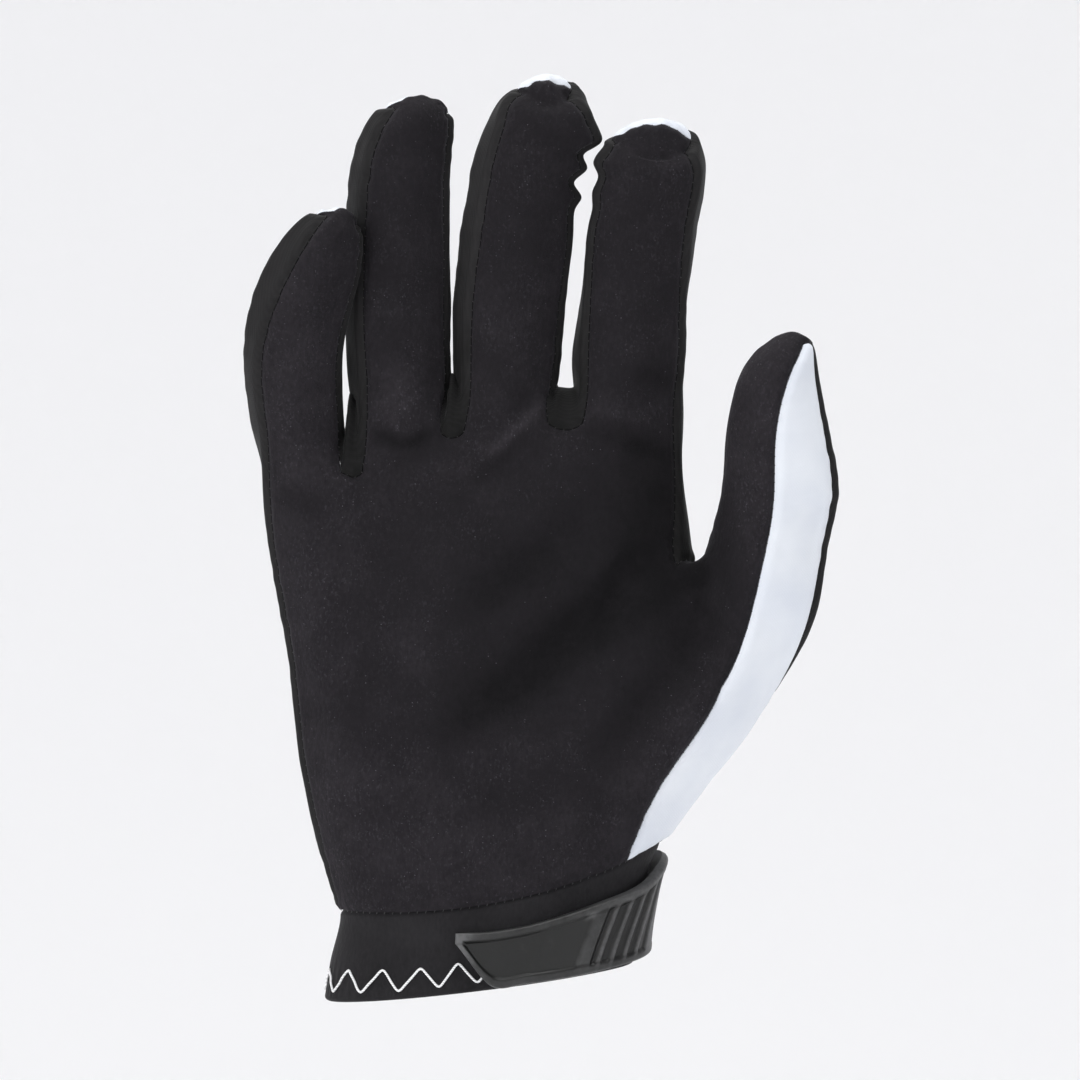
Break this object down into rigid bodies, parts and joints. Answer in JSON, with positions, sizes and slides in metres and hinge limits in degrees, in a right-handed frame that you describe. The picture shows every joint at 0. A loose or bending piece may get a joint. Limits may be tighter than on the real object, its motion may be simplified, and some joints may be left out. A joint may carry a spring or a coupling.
{
  "type": "motocross glove",
  "caption": "Full-finger riding glove for the right hand, with a soft suede palm, stretch sides and a short cuff closed by a moulded rubber wrist tab.",
  "frame": {"origin": "middle of the wrist opening, in the plane of the hem", "axes": "+Z from the wrist to the fingertips, -Y out of the palm, +X to the thumb"},
  "size_m": [0.1415, 0.0475, 0.2213],
  "materials": {
    "suede": "matte napped",
    "white_stretch": "matte woven",
    "black_stretch": "matte knit",
    "cuff_neoprene": "matte knit",
    "tab_rubber": "satin moulded",
    "hook_tape": "rough hook tape"
  },
  "bodies": {
    "root": {"palm_panel": "suede", "back_panel": "white_stretch", "thumb_side_panel": "white_stretch", "thumb_back_panel": "black_stretch", "fourchette_pinky_ring": "black_stretch", "fourchette_ring_middle": "black_stretch", "fourchette_middle_index": "black_stretch", "pinky_side_strip": "black_stretch", "index_side_strip": "black_stretch", "cuff": "cuff_neoprene", "wrist_tab": "tab_rubber", "hook_pad": "hook_tape"}
  },
  "joints": []
}
